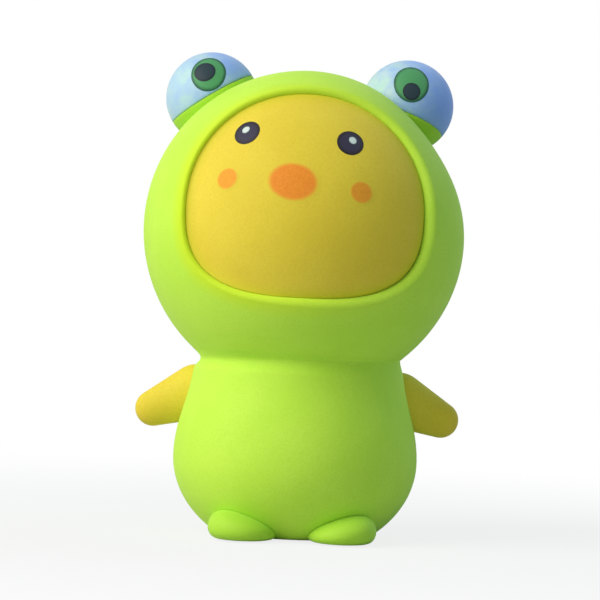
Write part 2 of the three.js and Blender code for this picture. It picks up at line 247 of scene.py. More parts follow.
def trunk_outline(turn):
    """The outline at a turn from the toy's left. On the left the neck is a little higher and
    wider than on the right, and its collar is tighter."""
    lean = math.cos(turn)
    neck = (NECK[0] + NECK_LEAN[0] * lean, NECK[1] + NECK_LEAN[1] * lean)
    collar = COLLAR_RADIUS - COLLAR_LEAN * lean
    rim = (collar, seat_height(collar))
    slope = math.asin(collar / (HEAD_RADIUS + SEAT_GAP))
    dish = [collar + (hole_radius - collar) * i / DISH_STEPS for i in range(1, DISH_STEPS + 1)]
    base_end = (BASE_TURN - BASE_TURN_HANDLE[0], belly[0][1] - BASE_TURN_HANDLE[1])
    side_end = (SHOULDER[0] + SHOULDER_HANDLE_BELOW[0], SHOULDER[1] - SHOULDER_HANDLE_BELOW[1])
    neck_start = (SHOULDER[0] - SHOULDER_HANDLE_ABOVE[0], SHOULDER[1] + SHOULDER_HANDLE_ABOVE[1])
    neck_end = (neck[0], neck[1] - NECK_HANDLE_BELOW)
    collar_start = (neck[0], neck[1] + NECK_HANDLE_ABOVE)
    collar_end = (rim[0] - COLLAR_HANDLE * math.cos(slope), rim[1] - COLLAR_HANDLE * math.sin(slope))
    return [
        (BASE_FLAT / 2, 0),
        (BASE_FLAT, 0),
        *curve((BASE_FLAT, 0), (BASE_FLAT + BASE_HANDLE, 0), base_end, belly[0], BASE_STEPS),
        *belly[1:],
        *curve(belly[-1], (belly_radius, BELLY_HEIGHT + BELLY_HANDLE), side_end, SHOULDER, SIDE_STEPS),
        *curve(SHOULDER, neck_start, neck_end, neck, NECK_STEPS),
        *curve(neck, collar_start, collar_end, rim, NECK_STEPS),
        *[(radius, seat_height(radius)) for radius in dish],
        (hole_radius, hole_floor + HOLE_ROUNDING),
        (hole_radius - HOLE_ROUNDING, hole_floor),
    ]


def trunk_shape():
    """The trunk's skin, from the middle of its base to the floor of the plug's hole."""
    turns = [math.tau * i / TRUNK_SIDES for i in range(TRUNK_SIDES)]
    outlines = [trunk_outline(turn) for turn in turns]
    rings = [[Vector((radius * math.cos(turn), radius * math.sin(turn), height)) * MM
              for turn, (radius, height) in zip(turns, level)] for level in zip(*outlines)]
    return skin(rings, (0, 0, 0), (0, 0, hole_floor * MM))


suit_foam = foam_skin("suit_polyurethane_foam", SUIT_GREEN, SUIT_PALE, SUIT_DEEP)
trunk = piece("trunk_foam", trunk_shape(), suit_foam)

# Wings: short tapered stubs of yellow foam. Their round roots sit glued in sockets in the
# trunk's sides, so each is made twice: larger, to cut its socket, and to size.
WING_ROOT = 6.8
WING_TIP = 4.4
WING_LENGTH = 11.4
WING_SEATING = 2.06
WING_RAISE = 0.7
WING_HALF_THICKNESS = 5
WING_DROOP = 23
WING_GAP = 0.1
WING_SIDES = 64
WING_ROOT_STEPS = 16
WING_STEPS = 24
WING_TIP_STEPS = 14
MERGE_DISTANCE = 0.001
CUT_CREASE = math.radians(40)
CHICK_YELLOW = "ecd138"
CHICK_PALE = "f1d840"
CHICK_DEEP = "e0c230"
SIDES = {"left": 1, "right": -1}


def turned(outline, sides):
    """A shape of revolution about Z from an outline."""
    shape = bmesh.new()
    corners = [shape.verts.new((radius * MM, 0, height * MM)) for radius, height in outline]
    edges = [shape.edges.new(pair) for pair in zip(corners, corners[1:])]
    bmesh.ops.spin(shape, geom=corners + edges, cent=(0, 0, 0), axis=(0, 0, 1),
                   angle=math.tau, steps=sides, use_merge=True)
    bmesh.ops.remove_doubles(shape, verts=shape.verts, dist=MERGE_DISTANCE * MM)
    bmesh.ops.recalc_face_normals(shape, faces=shape.faces)
    return shape


def cut(body, *cutters):
    """Cuts the shapes out of a piece, and keeps the rims of the cuts crisp."""
    for cutter in cutters:
        modifier = body.modifiers.new("socket", "BOOLEAN")
        modifier.operation = "DIFFERENCE"
        modifier.solver = "EXACT"
        modifier.object = cutter
    whole = body.data
    evaluated = body.evaluated_get(bpy.context.evaluated_depsgraph_get())
    body.data = bpy.data.meshes.new_from_object(evaluated)
    body.modifiers.clear()
    body.data.set_sharp_from_angle(angle=CUT_CREASE)
    bpy.data.meshes.remove(whole)
    for cutter in cutters:
        bpy.data.objects.remove(cutter)


def wing_shape(side, name, grow):
    """A stub through two balls, flattened front to back, that points to one side and droops."""
    root, tip = WING_ROOT + grow, WING_TIP + grow
    touch = math.degrees(math.asin((root - tip) / WING_LENGTH))
    root_ball = arc((0, 0), (root, root), -90, touch, WING_ROOT_STEPS)
    tip_ball = arc((0, WING_LENGTH), (tip, tip), touch, 90, WING_TIP_STEPS)
    shares = [i / WING_STEPS for i in range(1, WING_STEPS)]
    between = [Vector(root_ball[-1]).lerp(Vector(tip_ball[0]), share) for share in shares]
    shape = turned([*root_ball, *between, *tip_ball], WING_SIDES)
    bmesh.ops.scale(shape, vec=(1, (WING_HALF_THICKNESS + grow) / root, 1), verts=shape.verts)
    droop = Matrix.Rotation(side * math.radians(90 + WING_DROOP), 4, "Y")
    seat = Vector((-side * WING_SEATING, 0, WING_RAISE)) * MM
    place = Matrix.Translation(Vector(joints[f"wing_{name}_flap"]["pos_m"]) + seat)
    bmesh.ops.transform(shape, matrix=place @ droop, verts=shape.verts)
    return shape


wing_sockets = [piece(f"socket_{name}", wing_shape(side, name, WING_GAP), None)
                for name, side in SIDES.items()]
cut(trunk, *wing_sockets)
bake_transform(trunk)
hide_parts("trunk")

chick_foam = foam_skin("chick_polyurethane_foam", CHICK_YELLOW, CHICK_PALE, CHICK_DEEP)
for name, side in SIDES.items():
    wing = piece(f"wing_{name}_foam", wing_shape(side, name, 0), chick_foam)
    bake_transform(wing)
    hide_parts(f"wing_{name}")

# Neck plug: a foam plug in the top of the trunk, under the head, where the glue of the neck
# joint sits. Nothing of it shows on the whole toy.
PLUG_EDGE = 1
PLUG_EDGE_STEPS = 6
PLUG_DISH_STEPS = 8
PLUG_SIDES = 64

plug_dish = [PLUG_RADIUS * (1 - i / PLUG_DISH_STEPS) for i in range(PLUG_DISH_STEPS + 1)]
plug_outline = [
    (0, plug_floor),
    (PLUG_RADIUS - PLUG_EDGE, plug_floor),
    *arc((PLUG_RADIUS - PLUG_EDGE, plug_floor + PLUG_EDGE), (PLUG_EDGE, PLUG_EDGE), -90, 0, PLUG_EDGE_STEPS),
    *[(radius, seat_height(radius)) for radius in plug_dish],
]
neck_plug = piece("neck_plug_foam", turned(plug_outline, PLUG_SIDES), suit_foam)
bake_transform(neck_plug)
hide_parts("neck_plug")

# Feet: soft wedge-shaped lumps with flat soles, stuck to the front of the base. They are high
# at the outer end, low at the inner end, and hollowed where the trunk presses in.
FOOT_HALF = (8.2, 9, 4.3)
FOOT_PLACE = (11.8, -19, 2.5)
FOOT_TILT = 8
FOOT_TURN = 14
FOOT_TAPER = 0.22
FOOT_BOXINESS = 0.96
SOLE_SOFTNESS = 0.5
FOOT_GAP = 0.1
FOOT_SIDES = 72
FOOT_RINGS = 40
# The feet's greens are darker than the suit's: painted shade, for the feet sitting low under the belly.
FOOT_SHADED_GREEN = "b4e63c"
FOOT_SHADED_PALE = "bbea43"
FOOT_SHADED_DEEP = "a9dc34"


def boxy(value):
    """A ball's coordinate, pushed out towards a box."""
    return math.copysign(abs(value) ** FOOT_BOXINESS, value)


def foot_shape(side):
    """A rounded lump, turned out and tilted, with its underside pressed flat on the table."""
    shape = bmesh.new()
    bmesh.ops.create_uvsphere(shape, u_segments=FOOT_SIDES, v_segments=FOOT_RINGS, radius=1)
    for corner in shape.verts:
        corner.co = Vector(boxy(c) * half * MM for c, half in zip(corner.co, FOOT_HALF))
        corner.co.z *= 1 + FOOT_TAPER * side * corner.co.x / (FOOT_HALF[0] * MM)
    tilt = Matrix.Rotation(-side * math.radians(FOOT_TILT), 4, "Y")
    turn = Matrix.Rotation(side * math.radians(FOOT_TURN), 4, "Z")
    place = Matrix.Translation(Vector((side * FOOT_PLACE[0], FOOT_PLACE[1], FOOT_PLACE[2])) * MM)
    bmesh.ops.transform(shape, matrix=place @ turn @ tilt, verts=shape.verts)
    soft = SOLE_SOFTNESS * MM
    for corner in shape.verts:
        corner.co.z = soft * math.log1p(math.exp(corner.co.z / soft))
    return shape


shaded_foot_foam = foam_skin("foot_polyurethane_foam_painted_shade", FOOT_SHADED_GREEN, FOOT_SHADED_PALE, FOOT_SHADED_DEEP)
for name, side in SIDES.items():
    foot = piece(f"foot_{name}_foam", foot_shape(side), shaded_foot_foam)
    hollow = trunk_shape()
    for corner in hollow.verts:
        corner.co += corner.normal * FOOT_GAP * MM
    cut(foot, piece("foot_hollow", hollow, None))
    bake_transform(foot)
    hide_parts(f"foot_{name}")

# Hood: the ball-shaped head of the suit, cast in green foam around a pocket for the face.
# The rim of the face opening is rolled, and two round sockets on top hold the frog eyes.
FACE_TILT = 10
FACE_SIDE_ANGLE = 49
FACE_TOP_ANGLE = 49.7
FACE_CHIN_ANGLE = 35.6
FACE_TOP_SQUARENESS = 2.1
FACE_CHIN_SQUARENESS = 2.8
FACE_RADIUS = 37.2
LIP_ROUNDING = 1.3
LIP_LEAN = (0.5, -0.2)
POCKET_FLOOR = 12
POCKET_SHARES = (0.3, 0.6, 0.9, 1)
HOOD_SIDES = 160
LIP_STEPS = 12
BACK_STEPS = 64
BACK_CROWDING = 1.6
BACK_ARC = math.radians(125)
FROG_EYE_RADIUS = 11.4
EYE_GAP = 0.05
SOCKET_SIDES = 96
SOCKET_RINGS = 48
# The next two values are painted bounce light along the lip: its colour and how far it reaches.
LIP_BOUNCE_LIGHT = "d2f01e"
BOUNCE_LIGHT_WIDTH = 3.4
FLAT_DEPTH = 1.7
FLAT_RISE = math.radians(38)
FLAT_SPREAD = math.radians(27)


def face_point(turn, across, ahead):
    """A point by its turn round the face's axis, its distance from the axis and its distance
    ahead of the head's middle."""
    point = Vector((across * math.cos(turn), -ahead, across * math.sin(turn)))
    point.rotate(Matrix.Rotation(-math.radians(FACE_TILT), 3, "X"))
    return head_middle + point * MM


def opening(turn):
    """Distance from the face's axis to the wall of the opening: a rounded arch with a flat chin."""
    upper = math.sin(turn) >= 0
    tall = math.radians(FACE_TOP_ANGLE if upper else FACE_CHIN_ANGLE)
    wide = math.radians(FACE_SIDE_ANGLE)
    power = FACE_TOP_SQUARENESS if upper else FACE_CHIN_SQUARENESS
    angle = (abs(math.cos(turn) / wide) ** power + abs(math.sin(turn) / tall) ** power) ** (-1 / power)
    return FACE_RADIUS * math.sin(angle)


def back_share(step):
    """Share of the way from the lip to the back of the head, in steps that start small."""
    return (max(0, step - LIP_STEPS) / BACK_STEPS) ** BACK_CROWDING


def hood_point(turn, step):
    """A point on the hood from the opening's wall at step 0, over the rolled lip and round the
    ball to the back of the head. The lip is fuller on the toy's left and at the chin."""
    rounding = LIP_ROUNDING + LIP_LEAN[0] * math.cos(turn) + LIP_LEAN[1] * math.sin(turn)
    middle = opening(turn) + rounding
    ahead = math.sqrt((HEAD_RADIUS - rounding) ** 2 - middle ** 2)
    off_axis = math.atan2(middle, ahead)
    if step <= LIP_STEPS:
        bend = math.pi - (math.pi / 2 + off_axis) * step / LIP_STEPS
        return face_point(turn, middle + rounding * math.cos(bend), ahead + rounding * math.sin(bend))
    off_axis += (math.pi - off_axis) * back_share(step)
    return face_point(turn, HEAD_RADIUS * math.sin(off_axis), HEAD_RADIUS * math.cos(off_axis))


def flattened(point):
    """A point of the hood with the soft flat under the left frog eye pressed in."""
    outwards = point - head_middle
    share = math.exp(-(outwards.angle(flat_facing) / FLAT_SPREAD) ** 2)
    return point - outwards.normalized() * share * FLAT_DEPTH * MM


flat_facing = Vector((math.cos(FLAT_RISE), 0, math.sin(FLAT_RISE)))
face_turns = [math.tau * i / HOOD_SIDES for i in range(HOOD_SIDES)]
outside_steps = range(LIP_STEPS + BACK_STEPS)
hood_rings = [[face_point(turn, share * opening(turn), POCKET_FLOOR) for turn in face_turns]
              for share in POCKET_SHARES]
hood_rings += [[flattened(hood_point(turn, step)) for turn in face_turns] for step in outside_steps]

# A yellower tint is painted along the lip: painted bounce light from the yellow face and glow
# through the thin foam. It is full on the toy's right and gone on its left.
bounce_light_reach = BOUNCE_LIGHT_WIDTH / (HEAD_RADIUS * BACK_ARC)
bounce_light_steps = [1] * len(POCKET_SHARES) + [max(0, 1 - back_share(step) / bounce_light_reach) for step in outside_steps]
bounce_light_shares = [[share * (0.5 - 0.5 * math.cos(turn)) for turn in face_turns] for share in bounce_light_steps]
hood_shape = skin(hood_rings, face_point(0, 0, POCKET_FLOOR), face_point(0, 0, -HEAD_RADIUS), bounce_light_shares)
hood_foam = foam_skin("hood_polyurethane_foam", SUIT_GREEN, SUIT_PALE, SUIT_DEEP, LIP_BOUNCE_LIGHT)
hood = piece("hood_foam", hood_shape, hood_foam)
eye_sockets = []
for name in SIDES:
    socket = bmesh.new()
    bmesh.ops.create_uvsphere(socket, u_segments=SOCKET_SIDES, v_segments=SOCKET_RINGS,
                              radius=(FROG_EYE_RADIUS + EYE_GAP) * MM)
    bmesh.ops.translate(socket, vec=joints[f"frog_eye_{name}_tilt"]["pos_m"], verts=socket.verts)
    eye_sockets.append(piece(f"eye_socket_{name}", socket, None))
cut(hood, *eye_sockets)
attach(hood, "head")
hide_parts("hood")

# Face: a thick yellow foam insert that bulges in the hood's opening. Its front edge bends where
# it presses against the pocket's wall, and carries a darker olive band: painted shade for the
# crease, over a little of the hood's green spray that the edge has caught.
FACE_GAP = 0.03
EDGE_WIDTH = 3.2
EDGE_DEPTH = -0.35
EDGE_LEAN = (1.05, -0.4)
EDGE_BEND = math.radians(60)
EDGE_STEPS = 14
# The next three values are the painted shade on the face's edge: its colour, its strength and how it fades.
EDGE_PAINTED_SHADE = "d8d21c"
EDGE_SHADE_SHARE = 0.85
EDGE_SHADE_FADE = 2
FRONT_STEPS = 24


def front_point(turn, share, bend):
    """A point on the face's front, a share of the way to the edge and then along the edge's bend,
    which goes down the wall on the toy's left, is about level at the chin and goes up elsewhere."""
    depth = EDGE_DEPTH + EDGE_LEAN[0] * math.cos(turn) + EDGE_LEAN[1] * math.sin(turn)
    flat = opening(turn) - FACE_GAP - EDGE_WIDTH
    across = share * flat + EDGE_WIDTH * math.sin(bend) / math.sin(EDGE_BEND)
    drop = depth * (1 - math.cos(bend)) / (1 - math.cos(EDGE_BEND))
    return face_point(turn, across, math.sqrt(FACE_RADIUS ** 2 - across ** 2) - drop)


def back_point(turn, share):
    """A point on the face's flat back, a share of the way to its edge."""
    return face_point(turn, share * (opening(turn) - FACE_GAP), POCKET_FLOOR + FACE_GAP)


bends = [EDGE_BEND * i / EDGE_STEPS for i in range(EDGE_STEPS + 1)]
back_shares = POCKET_SHARES[::-1]
face_rings = [[front_point(turn, i / FRONT_STEPS, 0) for turn in face_turns] for i in range(1, FRONT_STEPS)]
face_rings += [[front_point(turn, 1, bend) for turn in face_turns] for bend in bends]
face_rings += [[back_point(turn, share) for turn in face_turns] for share in back_shares]
# The painted shade of the crease grows towards the face's edge.
edge_shade_shares = [EDGE_SHADE_SHARE * (bend / EDGE_BEND) ** EDGE_SHADE_FADE for bend in bends]
face_shade_steps = [0] * (FRONT_STEPS - 1) + edge_shade_shares + [0] * len(back_shares)
face_shade_shares = [[share] * HOOD_SIDES for share in face_shade_steps]
face_front = face_point(0, 0, FACE_RADIUS)
face_back = face_point(0, 0, POCKET_FLOOR + FACE_GAP)
face_foam = foam_skin("face_polyurethane_foam", CHICK_YELLOW, CHICK_PALE, CHICK_DEEP, EDGE_PAINTED_SHADE)
face = piece("face_foam", skin(face_rings, face_front, face_back, face_shade_shares), face_foam)
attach(face, "head")
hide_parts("face")

# Face prints: an oval beak and two round cheeks, airbrushed with soft edges, and two tilted
# oval eyes with small glints, pad printed. The whole print sits a little askew on the face.
PRINT_SKEW = 3.7
PRINT_TURN = -6.2
INK_LIFT = 0.02
INK_THICKNESS = 0.04
FILM_THINNING = 0.6
FILM_EDGE_POWER = 8
FILM_CREASE = math.radians(30)
PRINT_SIDES = 72
PRINT_SHARES = [0.2, 0.4, 0.55, 0.68, 0.78, 0.86, 0.92, 0.96, 0.98, 1]
AIRBRUSH_SPREAD = 1.16
AIRBRUSH_RAGGEDNESS = 0.16
INK_GRAIN_SIZE = 0.7
INK_UNEVENNESS = 0.12
INK_RELIEF = {"Strength": 0.12, "Distance": 0.04 * MM}
INK_FINISH = {"Roughness": 0.5, "IOR": 1.48, "Specular IOR Level": 0.25}
BEAK_INK = ("fb982a", "f18a20")
CHEEK_INK = ("f9a82b", "f09a24")
EYE_INK = ("302c44", "1c1418")
GLINT_INK = ("dde8e6", "b4c8c0")
BEAK = {"turn": 0, "rise": 16.9, "width": 11.2, "height": 8.8, "spin": -4}
CHEEK = {"turn": 26.2, "rise": 15.6, "width": 5.2, "height": 5, "spin": 0}
CHICK_EYE = {"turn": 23.8, "rise": 35.1, "width": 6.4, "height": 7.1, "spin": 28}
GLINT = {"turn": 25, "rise": 36.2, "width": 1.9, "height": 2.1, "spin": 0}
EYE_SHIFT = -1.3


def print_shape(middle, ball_radius, place, layer, askew):
    """A thin oval film on a ball. Places are turn and rise in degrees as seen from the ball's
    middle, sizes are along its surface, and layer 1 lies on another film."""
    turn, rise = math.radians(place["turn"]), math.radians(place["rise"])
    outwards = Vector((math.cos(rise) * math.sin(turn), -math.cos(rise) * math.cos(turn), math.sin(rise)))
    across = Vector((0, 0, 1)).cross(outwards).normalized()
    along = outwards.cross(across)
    spin = Matrix.Rotation(math.radians(place["spin"]), 3, "Z")
    facing = Matrix((across, along, outwards)).transposed() @ spin

    def at(share, turn_round, radius):
        """A point of the film, a share of the way from its middle to its edge."""
        x = share * place["width"] / 2 * math.cos(turn_round)
        y = share * place["height"] / 2 * math.sin(turn_round)
        angle, heading = math.hypot(x, y) / ball_radius, math.atan2(y, x)
        off = math.sin(angle)
        local = Vector((off * math.cos(heading), off * math.sin(heading), math.cos(angle)))
        return middle + askew @ facing @ local * radius * MM

    low = ball_radius + INK_LIFT + layer * (INK_LIFT + INK_THICKNESS)
    turns = [math.tau * i / PRINT_SIDES for i in range(PRINT_SIDES)]
    tops = [low + INK_THICKNESS * (1 - FILM_THINNING * share ** FILM_EDGE_POWER) for share in PRINT_SHARES]
    rings = [[at(share, turn, top) for turn in turns] for share, top in zip(PRINT_SHARES, tops)]
    rings += [[at(share, turn, low) for turn in turns] for share in reversed(PRINT_SHARES)]
    shares = [[share] * PRINT_SIDES for share in PRINT_SHARES + PRINT_SHARES[::-1]]
    return skin(rings, at(0, 0, low + INK_THICKNESS), at(0, 0, low), shares)


def airbrushed(name, ink, ink_deep):
    """Thinned ink sprayed through a mask on the yellow foam: the foam's own grain shows in it, and
    its edge fades into the foam over about a millimetre."""
    material, tree = new_material(name)
    foam, grain = foam_colour(tree, CHICK_YELLOW, CHICK_PALE, CHICK_DEEP)
    share = add(tree, "ShaderNodeAttribute", {"attribute_name": "share"}, {}).outputs["Fac"]
    ragged = add(tree, "ShaderNodeMath", {"operation": "MULTIPLY_ADD", 1: AIRBRUSH_RAGGEDNESS},
                 {0: grain, 2: share}).outputs[0]
    fade = add(tree, "ShaderNodeMapRange",
               {"interpolation_type": "SMOOTHSTEP", "From Min": 0.82, "From Max": 1.06},
               {"Value": ragged}).outputs[0]
    strength = add(tree, "ShaderNodeMapRange", {"From Min": 0.35, "From Max": 0.7},
                   {"Value": grain}).outputs[0]
    sprayed = add(tree, "ShaderNodeMix", {"data_type": "RGBA", 6: linear(ink), 7: linear(ink_deep)},
                  {0: strength}).outputs[2]
    mixed = add(tree, "ShaderNodeMix", {"data_type": "RGBA"}, {0: fade, 6: sprayed, 7: foam}).outputs[2]
    finish_surface(tree, mixed, grain, FOAM_RELIEF, FOAM_FINISH)
    return material


def pad_printed(name, ink, rim, rim_start):
    """Thick satin ink from a soft pad: an even film that gathers darker at its rim, over foam
    whose grain it half fills. The grain is drawn at 0.7 mm so that it shows."""
    material, tree = new_material(name)
    place = add(tree, "ShaderNodeTexCoord", {}, {}).outputs["Object"]
    grain = add(tree, "ShaderNodeTexNoise", {"Scale": 1 / (INK_GRAIN_SIZE * MM), "Detail": 3},
                {"Vector": place}).outputs[0]
    share = add(tree, "ShaderNodeAttribute", {"attribute_name": "share"}, {}).outputs["Fac"]
    uneven = add(tree, "ShaderNodeMath", {"operation": "MULTIPLY_ADD", 1: INK_UNEVENNESS},
                 {0: grain, 2: share}).outputs[0]
    rimmed = add(tree, "ShaderNodeMapRange",
                 {"interpolation_type": "SMOOTHSTEP", "From Min": rim_start + INK_UNEVENNESS / 2,
                  "From Max": 1.04},
                 {"Value": uneven}).outputs[0]
    mixed = add(tree, "ShaderNodeMix", {"data_type": "RGBA", 6: linear(ink), 7: linear(rim)},
                {0: rimmed}).outputs[2]
    finish_surface(tree, mixed, grain, INK_RELIEF, INK_FINISH)
    return material


def mirrored(place, side, shift=0):
    """The same place on the toy's other side, with a shift that both sides share."""
    return {**place, "turn": side * place["turn"] + shift, "spin": -side * place["spin"]}


def spread(place, times):
    """A place with its oval made larger."""
    return {**place, "width": times * place["width"], "height": times * place["height"]}


def add_print(name, shape, material, body):
    """Makes a film a piece that rides on a body and stands for the print of that name."""
    film = piece(f"{name}_print", shape, material)
    film.data.set_sharp_from_angle(angle=FILM_CREASE)
    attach(film, body)
    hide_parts(name)


print_turn = Matrix.Rotation(math.radians(PRINT_TURN), 3, "Z")
askew = print_turn @ Matrix.Rotation(math.radians(PRINT_SKEW), 3, "Y")
beak_ink = airbrushed("beak_airbrushed_ink", *BEAK_INK)
cheek_ink = airbrushed("cheek_airbrushed_ink", *CHEEK_INK)
eye_ink = pad_printed("eye_pad_printed_ink", *EYE_INK, rim_start=0.62)
glint_ink = pad_printed("glint_pad_printed_ink", *GLINT_INK, rim_start=0.6)
beak = print_shape(head_middle, FACE_RADIUS, spread(BEAK, AIRBRUSH_SPREAD), 0, askew)
add_print("beak", beak, beak_ink, "head")
for name, side in SIDES.items():
    cheek_place = spread(mirrored(CHEEK, side), AIRBRUSH_SPREAD)
    cheek = print_shape(head_middle, FACE_RADIUS, cheek_place, 0, askew)
    add_print(f"cheek_{name}", cheek, cheek_ink, "head")
    chick_eye = print_shape(head_middle, FACE_RADIUS, mirrored(CHICK_EYE, side, EYE_SHIFT), 0, askew)
    add_print(f"chick_eye_{name}", chick_eye, eye_ink, "head")
    glint = print_shape(head_middle, FACE_RADIUS, mirrored(GLINT, side, EYE_SHIFT), 1, askew)
    add_print(f"glint_{name}", glint, glint_ink, "head")

# Frog eyes: foam balls glued in the hood's sockets, each a green lid below a dome that is
# brushed pale blue. A green iris and a dark pupil are pad printed on each dome.
EYELID = {
    "left": {"lean": 18, "setback": 10.5, "rise": -4.2},
    "right": {"lean": 32.8, "setback": 2, "rise": -0.2},
}
LID_SEAM = 0.03
SEAM_ROUNDING = 0.2
SEAM_CREASE = math.radians(60)
EYE_SIDES = 112
DOME_STEPS = 44
LID_STEPS = 32
LID_GREEN = "a9de30"
LID_PALE = "b3e63a"
LID_DEEP = "9ed22a"
IRIS = {
    "left": {"turn": 2.5, "rise": 27.4, "width": 8.8, "height": 10.4, "spin": 0},
    "right": {"turn": -5.2, "rise": 30, "width": 8.7, "height": 10.2, "spin": 0},
}
PUPIL = {
    "left": {"turn": 2.6, "rise": 15.2, "width": 4.3, "height": 4.5, "spin": 0},
    "right": {"turn": -10.4, "rise": 30.6, "width": 5.3, "height": 5.5, "spin": 0},
}
IRIS_INK = ("529c66", "295a46")
PUPIL_INK = ("223640", "14222a")
STROKE_SIZE = 3.2
BRUSHED_GRAIN_SIZE = 0.6
# The mint patches and the pale-to-periwinkle blues below are painted light and shade on the domes: lit
# towards the toy's right, shaded towards its left.
HIGHLIGHT_PATCH_SIZE = 5
MINT_HIGHLIGHT = "c2e6de"
DOME_LIT_PALE = {"left": "c2dcee", "right": "b2d5ee"}
DOME_LIT_STOP = 0.1
DOME_BLUES_INTO_SHADE = ((0.35, "accdf2"), (0.6, "98bcfa"), (0.9, "8ab2ff"))
DOME_RELIEF = {"Strength": 0.2, "Distance": 0.06 * MM}
DOME_FINISH = {"Roughness": 0.6, "IOR": 1.45, "Sheen Weight": 0.3, "Sheen Roughness": 0.5}


def eye_part(outline, name):
    """Part of a frog eye, turned about the axis of its lid line and put in its socket."""
    side = SIDES[name]
    lean = Matrix.Rotation(side * math.radians(EYELID[name]["lean"]), 4, "Y")
    setback = Matrix.Rotation(-math.radians(EYELID[name]["setback"]), 4, "X")
    middle = Matrix.Translation(joints[f"frog_eye_{name}_tilt"]["pos_m"])
    shape = turned(outline, EYE_SIDES)
    bmesh.ops.transform(shape, matrix=middle @ lean @ setback, verts=shape.verts)
    return shape


def brushed_dome(name, middle, pale):
    """Water-based paint brushed on foam, blue with cloudy strokes a few millimetres wide. Painted light
    and shade lie over it: pale, with patches of mint highlight, towards the toy's right, where the
    lamp falls, and deepening to periwinkle shade towards its left."""
    material, tree = new_material(name)
    half = FROG_EYE_RADIUS * MM
    place = add(tree, "ShaderNodeTexCoord", {}, {}).outputs["Object"]
    centred = add(tree, "ShaderNodeMapping", {"Location": -middle}, {"Vector": place}).outputs[0]
    strokes = add(tree, "ShaderNodeTexNoise", {"Scale": 1 / (STROKE_SIZE * MM), "Detail": 4},
                  {"Vector": centred}).outputs[0]
    grain = add(tree, "ShaderNodeTexNoise", {"Scale": 1 / (BRUSHED_GRAIN_SIZE * MM), "Detail": 4},
                {"Vector": centred}).outputs[0]
    highlight_noise = add(tree, "ShaderNodeTexNoise", {"Scale": 1 / (HIGHLIGHT_PATCH_SIZE * MM), "Detail": 2},
               {"Vector": centred}).outputs[0]
    across = add(tree, "ShaderNodeSeparateXYZ", {}, {"Vector": centred}).outputs["X"]
    light_sweep = add(tree, "ShaderNodeMapRange",
                   {"From Min": -half, "From Max": half, "To Min": -0.5, "To Max": 0.5},
                   {"Value": across}).outputs[0]
    strokes_and_light_sweep = add(tree, "ShaderNodeMath", {"operation": "ADD"}, {0: strokes, 1: light_sweep}).outputs[0]
    ramp = add(tree, "ShaderNodeValToRGB", {}, {"Fac": strokes_and_light_sweep})
    stops = ((DOME_LIT_STOP, pale), *DOME_BLUES_INTO_SHADE)
    for position, _ in stops[1:-1]:
        ramp.color_ramp.elements.new(position)
    for element, (position, colour) in zip(ramp.color_ramp.elements, stops):
        element.position = position
        element.color = linear(colour)
    highlight_patches = add(tree, "ShaderNodeMapRange", {"From Min": 0.5, "From Max": 0.68, "To Max": 0.55},
                  {"Value": highlight_noise}).outputs[0]
    lit_side = add(tree, "ShaderNodeMapRange", {"From Min": half / 2, "From Max": -half / 2},
                    {"Value": across}).outputs[0]
    highlight_share = add(tree, "ShaderNodeMath", {"operation": "MULTIPLY"}, {0: highlight_patches, 1: lit_side}).outputs[0]
    highlighted = add(tree, "ShaderNodeMix", {"data_type": "RGBA", 7: linear(MINT_HIGHLIGHT)},
                 {0: highlight_share, 6: ramp.outputs[0]}).outputs[2]
    finish_surface(tree, highlighted, grain, DOME_RELIEF, DOME_FINISH)
    return material


lid_foam = foam_skin("lid_polyurethane_foam", LID_GREEN, LID_PALE, LID_DEEP)
iris_ink = pad_printed("iris_pad_printed_ink", *IRIS_INK, rim_start=0.78)
pupil_ink = pad_printed("pupil_pad_printed_ink", *PUPIL_INK, rim_start=0.7)
upright = Matrix.Identity(3)
ball = (FROG_EYE_RADIUS, FROG_EYE_RADIUS)
for name in SIDES:
    middle = Vector(joints[f"frog_eye_{name}_tilt"]["pos_m"])
    body = f"frog_eye_{name}"
    rise = EYELID[name]["rise"]
    floor, ceiling = rise + LID_SEAM, rise - LID_SEAM
    floor_angle = math.degrees(math.asin((floor + SEAM_ROUNDING) / FROG_EYE_RADIUS))
    ceiling_angle = math.degrees(math.asin((ceiling - SEAM_ROUNDING) / FROG_EYE_RADIUS))
    seam_radius = math.sqrt(FROG_EYE_RADIUS ** 2 - rise ** 2) - SEAM_ROUNDING
    dome_outline = [
        (0, floor),
        (seam_radius / 2, floor),
        (seam_radius, floor),
        *arc((0, 0), ball, floor_angle, 90, DOME_STEPS),
    ]
    lid_outline = [
        *arc((0, 0), ball, -90, ceiling_angle, LID_STEPS),
        (seam_radius, ceiling),
        (seam_radius / 2, ceiling),
        (0, ceiling),
    ]
    dome_paint = brushed_dome(f"brushed_dome_{name}", middle, DOME_LIT_PALE[name])
    dome = piece(f"frog_eye_{name}_foam", eye_part(dome_outline, name), dome_paint)
    lid = piece(f"eyelid_{name}_foam", eye_part(lid_outline, name), lid_foam)
    for part, node, slot in ((dome, f"frog_eye_{name}", "dome_foam"), (lid, f"eyelid_{name}", "lid_foam")):
        part.data.set_sharp_from_angle(angle=SEAM_CREASE)
        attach(part, body)
        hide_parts(node)
    iris = print_shape(middle, FROG_EYE_RADIUS, IRIS[name], 0, upright)
    add_print(f"iris_{name}", iris, iris_ink, body)
    pupil = print_shape(middle, FROG_EYE_RADIUS, PUPIL[name], 1, upright)
    add_print(f"pupil_{name}", pupil, pupil_ink, body)

